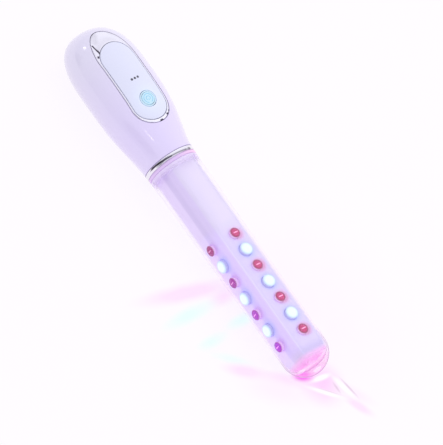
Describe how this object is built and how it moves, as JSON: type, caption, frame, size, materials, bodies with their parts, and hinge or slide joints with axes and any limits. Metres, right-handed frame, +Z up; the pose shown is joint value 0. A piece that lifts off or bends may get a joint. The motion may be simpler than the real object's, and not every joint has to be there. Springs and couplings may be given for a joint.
{
  "type": "laser therapy wand",
  "caption": "Slim handheld light-therapy wand: glossy handle with a framed panel and lit button, and a clear dome-ended tube with emitters on a square core.",
  "frame": {"origin": "centre of the bounding box's base: on the table under the wand, which lies on the flat of its belly", "axes": "+X along the tube from the handle to the tip, +Z up through the panel, +Y to the left of the way to the tip"},
  "size_m": [0.2454, 0.0464, 0.0385],
  "materials": {
    "handle_white": "glossy moulded",
    "chrome_trim": "mirror polished",
    "panel_blue": "glossy ice blue",
    "button": "back-lit cyan",
    "button_light": "lit cyan",
    "black_rubber": "matt",
    "pink_seal": "translucent silicone",
    "clear_tube": "clear, polished",
    "core_white": "satin moulded",
    "circuit_board": "solder mask",
    "led_board": "white solder mask",
    "black_plastic": "moulded",
    "grey_plastic": "moulded",
    "steel": "bright",
    "cell": "wrapped",
    "red_lens": "clear red lens",
    "blue_lens": "lit blue-white lens",
    "wire_sleeve": "matt sleeve"
  },
  "bodies": {
    "wand": {"handle_shell": "handle_white", "belly_cover": "handle_white", "bezel": "chrome_trim", "neck_ring": "chrome_trim", "panel_plate": "panel_blue", "panel_gasket": "black_rubber", "button_light_ring": "button_light", "control_board": "circuit_board", "controller_chip": "black_plastic", "tact_switch": "black_plastic", "board_screw_front": "steel", "board_screw_rear": "steel", "battery_cell": "cell", "battery_cradle": "grey_plastic", "charge_socket": "steel", "neck_coupling": "core_white", "o_ring": "black_rubber", "seal_ring": "pink_seal", "probe_tube": "clear_tube", "inner_core": "core_white", "core_end_cap": "core_white", "motor_sleeve": "black_rubber", "vibration_motor": "steel", "wire_harness": "wire_sleeve", "led_strip_1": "led_board", "led_strip_2": "led_board", "led_strip_3": "led_board", "led_strip_4": "led_board", "red_diode_1_1": "red_lens", "red_diode_1_3": "red_lens", "red_diode_1_5": "red_lens", "red_diode_1_7": "red_lens", "red_diode_2_1": "red_lens", "red_diode_2_3": "red_lens", "red_diode_2_5": "red_lens", "red_diode_2_7": "red_lens", "red_diode_3_1": "red_lens", "red_diode_3_3": "red_lens", "red_diode_3_5": "red_lens", "red_diode_3_7": "red_lens", "red_diode_4_1": "red_lens", "red_diode_4_3": "red_lens", "red_diode_4_5": "red_lens", "red_diode_4_7": "red_lens", "blue_led_1_2": "blue_lens", "blue_led_1_4": "blue_lens", "blue_led_1_6": "blue_lens", "blue_led_2_2": "blue_lens", "blue_led_2_4": "blue_lens", "blue_led_2_6": "blue_lens", "blue_led_3_2": "blue_lens", "blue_led_3_4": "blue_lens", "blue_led_3_6": "blue_lens", "blue_led_4_2": "blue_lens", "blue_led_4_4": "blue_lens", "blue_led_4_6": "blue_lens"},
    "button": {"power_button": "button", "switch_plunger": "grey_plastic"},
    "port_flap": {"port_cover": "handle_white"},
    "motor_weight": {"eccentric_weight": "steel"}
  },
  "joints": [
    {"name": "button_press", "type": "slide", "parent": "wand", "child": "button", "axis": [0, 0, -1], "range_m": [0, 0.0005], "stiffness_N_per_m": 2000},
    {"name": "port_cover_hinge", "type": "hinge", "parent": "wand", "child": "port_flap", "pos_m": [-0.12119, 0, 0.0091], "axis": [0, -1, 0], "range_deg": [0, 100]},
    {"name": "motor_spin", "type": "hinge", "parent": "wand", "child": "motor_weight", "pos_m": [0.0875, 0, 0.0163], "axis": [1, 0, 0], "continuous": true}
  ]
}
